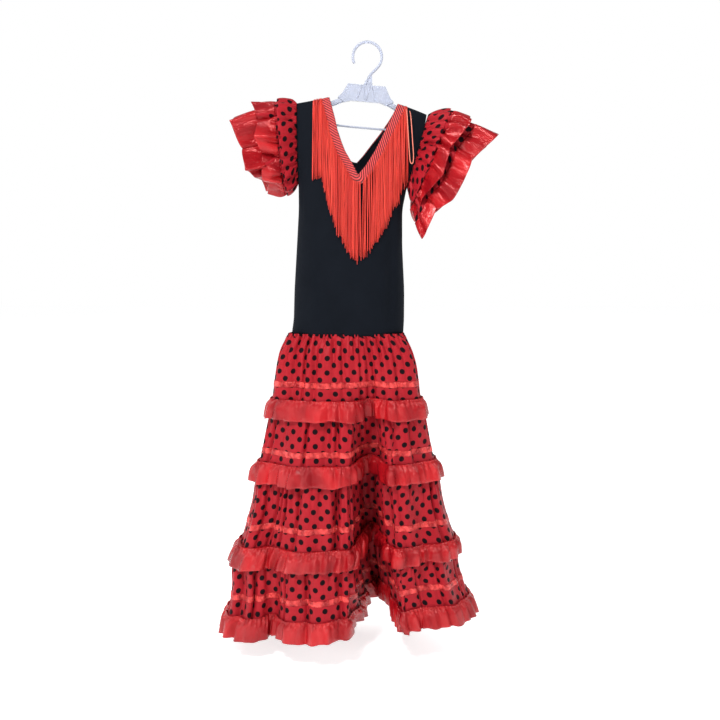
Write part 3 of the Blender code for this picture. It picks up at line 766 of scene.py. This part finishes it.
def build_panel(side, edge, label):
    marks = [row["at"] for row in edge]
    fine = []
    for a, b in zip(marks, marks[1:]):
        steps = max(3, int((b - a) * 72))
        fine.extend(np.linspace(a, b, steps, endpoint=False))
    fine.append(marks[-1])
    at = np.array(fine)
    top = column(edge, "at", at, "z")
    rows = 68
    share = np.linspace(0, 1, rows) ** 1.15
    z = top[None, :] + (WAIST - top[None, :]) * share[:, None]
    wide = np.broadcast_to(at, z.shape)
    x = bodice_x(wide, z)
    y = bodice_y(wide, z, side)
    y = y + side * bodice_creases(x, z, side) * np.sqrt(np.maximum(1 - np.abs(wide) ** 6, 0))
    points = np.stack([x, y, z], -1)
    if side > 0:
        points = points[:, ::-1]
    run = np.concatenate([np.zeros((rows, 1)), np.cumsum(row_lengths(points, False), 1)], 1)
    uv = np.stack([run - run.mean(1, keepdims=True), -points[..., 2]], -1)
    made = grid_mesh(f"bodice_{label}_cloth", points, uv, False, KNIT, 1.1)
    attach(made, "root")
    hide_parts(f"bodice_{label}")


build_panel(-1, FRONT_EDGE, "front")
build_panel(1, BACK_EDGE, "back")


# --------------------------------------------------- braid and fringe
def neck_line(rows, count):
    """Rounded neckline and its direction away from the opening."""
    xs = np.array([row["x"] for row in rows], float)
    zs = np.array([row["z"] for row in rows], float)
    run = np.concatenate([[0], np.cumsum(np.hypot(np.diff(xs), np.diff(zs)))])
    place = np.linspace(0, run[-1], count)
    x = np.interp(place, run, xs)
    z = np.interp(place, run, zs)
    for _ in range(10):
        x[1:-1] = (x[:-2] + 2 * x[1:-1] + x[2:]) / 4
        z[1:-1] = (z[:-2] + 2 * z[1:-1] + z[2:]) / 4
    dx = np.gradient(x)
    dz = np.gradient(z)
    size = np.hypot(dx, dz)
    nx, nz = dz / size, -dx / size
    for _ in range(14):
        nx[1:-1] = (nx[:-2] + 2 * nx[1:-1] + nx[2:]) / 4
        nz[1:-1] = (nz[:-2] + 2 * nz[1:-1] + nz[2:]) / 4
    size = np.hypot(nx, nz)
    return place, x, z, nx / size, nz / size


def build_trim(side, rows, label):
    count = 420
    place, x, z, nx, nz = neck_line(rows, count)
    wide = np.linspace(-1.0, BRAID_WIDE, 15)
    px = x[None, :] + nx[None, :] * wide[:, None]
    pz = z[None, :] + nz[None, :] * wide[:, None]
    line = column(SHOULDER, "at", (px + 10) / 144, "z")
    pz = np.minimum(pz, line + 0.5)
    twill = np.sin((place[None, :] + wide[:, None]) * TAU / TWILL)
    edge = np.clip(np.minimum(wide + 1, BRAID_WIDE - wide) / 2.5, 0, 1)[:, None]
    lift = 2.3 + (0.9 + 0.55 * twill) * edge
    py = panel_y(px, pz, side) + side * lift
    points = np.stack([px, py, pz], -1)
    uv = np.stack(np.broadcast_arrays(place[None, :], wide[:, None]), -1)
    if side < 0:
        points = points[:, ::-1]
        uv = uv[:, ::-1]
    made = grid_mesh(f"braid_{label}_header", points, uv, False, BRAID, 1.0)
    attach(made, "root")
    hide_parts(f"braid_{label}")

    # strands hang straight down from near the outer edge of the header
    border_x = x + nx * (BRAID_WIDE - 2.5)
    border_z = z + nz * (BRAID_WIDE - 2.5)
    local = np.random.default_rng(40 + side)
    starts = []
    for layer in range(3):
        places = np.arange(FRINGE_LEFT + STRAND_STEP / 3 * layer, FRINGE_RIGHT, STRAND_STEP)
        places = places + local.normal(0, 0.30, len(places))
        order = np.argsort(border_x)
        tops = np.interp(places, border_x[order], border_z[order])
        line = column(SHOULDER, "at", (places + 10) / 144, "z")
        tops = np.minimum(tops, line - 2.0)
        kept = local.uniform(0, 1, len(places)) > 0.55 * np.exp(-(((places + 1) / 17) ** 2))
        for sx, sz in zip(places[kept], tops[kept]):
            starts.append((sx, sz + 1.5 * layer, layer))
    starts = np.array(starts)
    rows_down = 12
    t = np.linspace(0, 1, rows_down)[None, :]
    n = len(starts)
    length_each = STRAND + local.normal(0, 3.4, n) - 3.0 * (starts[:, 2] == 2)
    drop = length_each[:, None] * t
    lean = local.normal(0, 1.0, n)[:, None]
    curl = local.normal(0, 0.5, n)[:, None]
    phase = local.uniform(0, 6, n)[:, None]
    swing = lean * t + curl * np.sin(t * 7 + phase)
    clump = 1.2 * np.sin(starts[:, 0] / 3.9 + 1.3 * np.sin(starts[:, 0] / 9.0))[:, None] * t
    sx = starts[:, 0][:, None] + swing + clump
    sz = starts[:, 1][:, None] - drop
    off = 3.4 + 1.1 * starts[:, 2][:, None] + local.normal(0, 0.35, n)[:, None]
    over = (1 - np.exp(-drop / 10)) * 0.8
    sy = panel_y(sx, sz, side) + side * (off + over)
    path = np.stack([sx, sy, sz], -1)
    sides = 5
    angle = np.arange(sides) / sides * TAU
    thick = STRAND_RADIUS * (1 - 0.25 * (t > 0.98))
    ring_x = np.cos(angle)[None, None, :] * thick[..., None]
    ring_y = np.sin(angle)[None, None, :] * thick[..., None]
    vertex = np.repeat(path[:, :, None, :], sides, axis=2)
    vertex[..., 0] += ring_x
    vertex[..., 1] += ring_y
    s, r, k = np.meshgrid(np.arange(n), np.arange(rows_down - 1), np.arange(sides), indexing="ij")
    base = (s * rows_down + r) * sides
    q = (k + 1) % sides
    quad = np.stack([base + k, base + q, base + sides + q, base + sides + k], -1).reshape(-1, 4)
    mesh = bpy.data.meshes.new(f"fringe_{label}_strands")
    caps = []
    for strand in range(n):
        end = (strand * rows_down + rows_down - 1) * sides
        caps.append(tuple(end + m for m in range(sides)))
    mesh.from_pydata((vertex.reshape(-1, 3) * MM).tolist(), [], quad.tolist() + caps)
    layer = mesh.uv_layers.new(name="cut")
    along = r * 13.0
    quad_uv = np.stack([
        np.stack([k, along], -1), np.stack([k + 1, along], -1),
        np.stack([k + 1, along + 13], -1), np.stack([k, along + 13], -1),
    ], -2).reshape(-1, 2) * MM
    whole = np.zeros((len(mesh.loops), 2))
    whole[:len(quad_uv)] = quad_uv
    layer.data.foreach_set("uv", whole.ravel())
    mesh.materials.append(FRINGE)
    mesh.polygons.foreach_set("use_smooth", [True] * len(mesh.polygons))
    made = bpy.data.objects.new(f"fringe_{label}_strands", mesh)
    bpy.context.scene.collection.objects.link(made)
    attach(made, "root")
    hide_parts(f"fringe_{label}")


build_trim(-1, NECK_FRONT, "front")
build_trim(1, NECK_BACK, "back")


# ------------------------------------------------------------- sleeves
def sleeve_base(rings, share, turn):
    """Points of a sleeve tube and its outward directions."""
    first, last = rings
    share = np.asarray(share, float)[:, None]
    now = {key: first[key] + share * (last[key] - first[key]) for key in first}
    angle = (turn * TAU)[None, :]
    up = np.cos(angle)
    forward = np.sin(angle)
    bow = last.get("bow", 0.0) * share * (1 - up * up)
    cx = (now["xt"] + now["xb"]) / 2 + bow
    cz = (now["zt"] + now["zb"]) / 2
    ax = (now["xt"] - now["xb"]) / 2
    az = (now["zt"] - now["zb"]) / 2
    reach = np.where(forward > 0, -now["front"], now["back"])
    x = cx + ax * up
    z = cz + az * up
    y = -forward * reach
    points = np.stack(np.broadcast_arrays(x, y, z), -1)
    long = np.hypot(ax, az)
    ox = ax / long * up
    oz = az / long * up
    oy = -forward * (long / reach) ** 0.5
    out = np.stack(np.broadcast_arrays(ox, oy, oz), -1)
    out /= np.linalg.norm(out, axis=-1, keepdims=True)
    return points, out


FRILLS = dict(
    left=dict(
        upper=dict(lobes=7, crest=0.080, swing=12.5, reach=5.0, grow=1.12),
        lower=dict(lobes=4, crest=0.090, swing=20.0, reach=7.0, grow=0.98),
    ),
    right=dict(
        upper=dict(lobes=5, crest=0.10, swing=14.0, reach=6.0, grow=1.12),
        lower=dict(lobes=5, crest=0.085, swing=16.0, reach=8.0, grow=1.01),
    ),
)


def even_sleeve(rings, share, count):
    """Turns that divide a sleeve ring into equal lengths."""
    fine = np.arange(1441) / 1440
    line = sleeve_base(rings, [share], fine)[0][0]
    run = np.concatenate([[0], np.cumsum(np.linalg.norm(np.diff(line, axis=0), axis=1))])
    return np.interp(np.arange(count) / count * run[-1], run, fine)


def rim_length(points):
    return row_lengths(points[-1:])[0].sum()


def column_length(points):
    return np.linalg.norm(np.diff(points, axis=0), axis=-1).sum(0).mean()


def build_cap(side, seed):
    rings = SLEEVES[side]["cap"]
    cols = 232
    turn = even_sleeve(rings, 0.6, cols)
    t = np.linspace(0, 1, 20)
    points, out = sleeve_base(rings, t * 1.28, turn)
    points = points + out * (5.0 * np.sin(t * np.pi) ** 0.8 + 4.0 * t)[:, None, None]
    flat = rim_length(points) * 1.10
    waves = (
        (pleats(cols, 34, seed, 0.6), np.exp(-t / 0.22)),
        (pleats(cols, 15, seed + 4, 0.4), 0.8 * (1 - np.exp(-t / 0.2))),
        (tucks(cols, flat, 48, 6.0, seed + 8), 1.8 * np.sin(t * np.pi)),
    )
    cloth = gather(points, out, flat, waves)
    if side == "left":
        cloth = cloth[:, ::-1]
    high = column_length(cloth)
    cut = ring_uv(cloth, flat, t * high, seed * 3.7)
    made = grid_mesh(f"cap_{side}", cloth, cut, True, DOTTED, 0.5)
    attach(made, "root")
    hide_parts(f"sleeve_cap_{side}")


def build_frill(side, part, seed):
    rings = SLEEVES[side][part]
    shape = FRILLS[side][part]
    cols = 392
    rows = 34
    turn = even_sleeve(rings, 1.0, cols)
    t = np.linspace(0, 1, rows)
    base, out = sleeve_base(rings, t * shape["grow"], turn)
    away = base[-1].mean(0) - base[0].mean(0)
    away /= np.linalg.norm(away)
    along = np.roll(base, -1, 1) - np.roll(base, 1, 1)
    along /= np.linalg.norm(along, axis=-1, keepdims=True)
    warp = 0.18 / shape["lobes"] * smooth_noise(cols, 9, seed)
    phase = TAU * shape["lobes"] * (turn - shape["crest"] + warp)
    fold = 0.45 * np.cos(phase) + 0.55 * (2 / np.pi) * np.arcsin(0.985 * np.cos(phase))
    uneven = 1 + 0.25 * smooth_noise(cols, 7, seed + 1)
    grown = np.clip(t / 0.75, 0, 1)
    grown = grown * grown * (3 - 2 * grown)
    swing = np.outer(grown, shape["swing"] * uneven * fold)
    reach = np.outer(grown * t, shape["reach"] * fold)
    tuck = np.outer(grown, -0.26 * shape["swing"] * np.sin(2 * phase))
    points = base + out * swing[..., None] + away * reach[..., None] + along * tuck[..., None]
    flat = rim_length(points) * 1.03
    waves = (
        (pleats(cols, 44, seed + 10, 0.5), np.exp(-t / 0.10)),
        (pleats(cols, 21, seed + 14, 0.4), (1 - np.exp(-t / 0.1)) * np.exp(-t / 0.5)),
        (pleats(cols, 13, seed + 18, 0.2), 0.7 * (1 - np.exp(-t / 0.3))),
    )
    cloth = gather(points, out, flat, waves, least=0.7)
    if side == "left":
        cloth = cloth[:, ::-1]
    long = column_length(cloth)
    cut = int(round(max(13.0 / long, 1 - 39.0 / long) * (rows - 1)))
    down = t * long
    printed = grid_mesh(
        f"frill_{part}_{side}_print", cloth[:cut + 1],
        ring_uv(cloth[:cut + 1], flat, down[:cut + 1], seed * 1.3), True, DOTTED, 0.5,
    )
    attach(printed, "root")
    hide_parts(f"frill_{part}_{side}")
    ribbon = cloth[cut:]
    facing = np.cross(
        np.roll(ribbon, -1, 1) - np.roll(ribbon, 1, 1), np.gradient(ribbon, axis=0),
    )
    facing /= np.maximum(np.linalg.norm(facing, axis=-1, keepdims=True), 1e-6)
    if (facing * (ribbon - ribbon.mean((0, 1)))).sum() < 0:
        facing = -facing
    far = down[cut:] - down[cut]
    crinkle = pleats(cols, int(flat / 8.5), seed + 30, 0.3)
    ribbon = ribbon + facing * (0.5 + 0.9 * np.outer(np.exp(-far / 6), crinkle))[..., None]
    ribbon_cut = ring_uv(ribbon, flat, far, seed * 2.1)
    made = grid_mesh(f"frill_{part}_{side}_edge", ribbon, ribbon_cut, True, WIDE_SATIN, 0.5)
    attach(made, "root")
    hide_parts(f"frill_ribbon_{part}_{side}")


def build_sleeve(side):
    seed = 2000 if side == "left" else 3000
    build_cap(side, seed)
    build_frill(side, "upper", seed + 100)
    build_frill(side, "lower", seed + 200)


build_sleeve("left")
build_sleeve("right")


# --------------------------------------------------------- hanger loop
def build_loop():
    curve = bpy.data.curves.new("loop_ribbon", "CURVE")
    curve.dimensions = "3D"
    curve.bevel_depth = LOOP_THICK / 2 * MM
    curve.bevel_resolution = 2
    curve.resolution_u = 8
    curve.use_fill_caps = True
    spline = curve.splines.new("BEZIER")
    spline.bezier_points.add(len(LOOP_ROUTE) - 1)
    for knot, place in zip(spline.bezier_points, LOOP_ROUTE):
        knot.co = Vector(place) * MM
        knot.handle_left_type = "AUTO"
        knot.handle_right_type = "AUTO"
    curve.materials.append(LOOP_SATIN)
    made = bpy.data.objects.new("loop_ribbon", curve)
    bpy.context.scene.collection.objects.link(made)
    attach(made, "root")
    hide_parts("hanger_loop")


build_loop()


# -------------------------------------------------------------- hanger
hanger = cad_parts["hanger"]
for spot in hanger.material_slots:
    spot.material = PLASTIC


# --------------------------------------------------- stage and camera
def build_stage():
    """Pale floor a little below the hem, in pale surroundings."""
    ends = (-FLOOR_HALF, FLOOR_HALF)
    points = np.array([[[x, y, FLOOR] for x in ends] for y in ends])
    look, tree, shader = tree_of("studio_paper")
    place = node(tree, "ShaderNodeTexCoord").outputs["Object"]
    tone = mixed(tree, noise(tree, place, 1.2, 2.0), (0.86, 0.86, 0.865), (0.90, 0.90, 0.905))
    tree.links.new(tone, shader.inputs["Base Color"])
    shader.inputs["Roughness"].default_value = 0.9
    shader.inputs["Specular IOR Level"].default_value = 0.0
    shader.inputs["Emission Color"].default_value = (1.0, 1.0, 1.0, 1.0)
    shader.inputs["Emission Strength"].default_value = 0.72
    made = grid_mesh("studio_floor", points, points[..., :2], False, look)


def build_world():
    """Even soft light from all round, seen as white."""
    world = bpy.data.worlds.new("studio")
    bpy.context.scene.world = world
    world.use_nodes = True
    tree = world.node_tree
    shader = tree.nodes["Background"]
    shader.inputs["Color"].default_value = (1, 1, 1, 1)
    seen = node(tree, "ShaderNodeLightPath").outputs["Is Camera Ray"]
    strength = calc(tree, "ADD", calc(tree, "MULTIPLY", seen, 0.70), 0.30)
    tree.links.new(strength, shader.inputs["Strength"])


def area_light(name, place, target, size, power):
    """White rectangular light at a place, turned to a target.  Power in watts."""
    data = bpy.data.lights.new(name, "AREA")
    data.shape = "RECTANGLE"
    data.size, data.size_y = size
    data.energy = power
    made = bpy.data.objects.new(name, data)
    made.location = place
    made.rotation_euler = (Vector(target) - Vector(place)).to_track_quat("-Z", "Y").to_euler()
    bpy.context.scene.collection.objects.link(made)


build_stage()
area_light("key", (-0.75, -1.9, 1.5), (0, 0, -0.5), (0.45, 0.45), 80)
area_light("strip", (-1.7, -2.0, -0.35), (0, 0, -0.6), (0.12, 0.9), 16)
area_light("fill", (2.2, -2.0, 0.2), (0, 0, -0.7), (1.5, 1.5), 14)
area_light("back_left", (-2.2, 1.1, 0.9), (0, 0, -0.6), (1.2, 1.2), 24)
area_light("back_right", (2.2, 1.1, 0.9), (0, 0, -0.6), (1.2, 1.2), 24)
build_world()
bpy.context.scene.view_settings.view_transform = "Standard"

LENS = 45.43
EYE = (-0.014, -1.80, -0.36)
AIM = (-0.014, 0.0, -0.61)
camera = bpy.data.cameras.new("camera")
camera.sensor_width = 36.0
camera.lens = LENS
eye = bpy.data.objects.new("camera", camera)
eye.location = EYE
aim = Vector(AIM) - Vector(EYE)
eye.rotation_euler = aim.to_track_quat("-Z", "Y").to_euler()
bpy.context.scene.collection.objects.link(eye)
bpy.context.scene.camera = eye
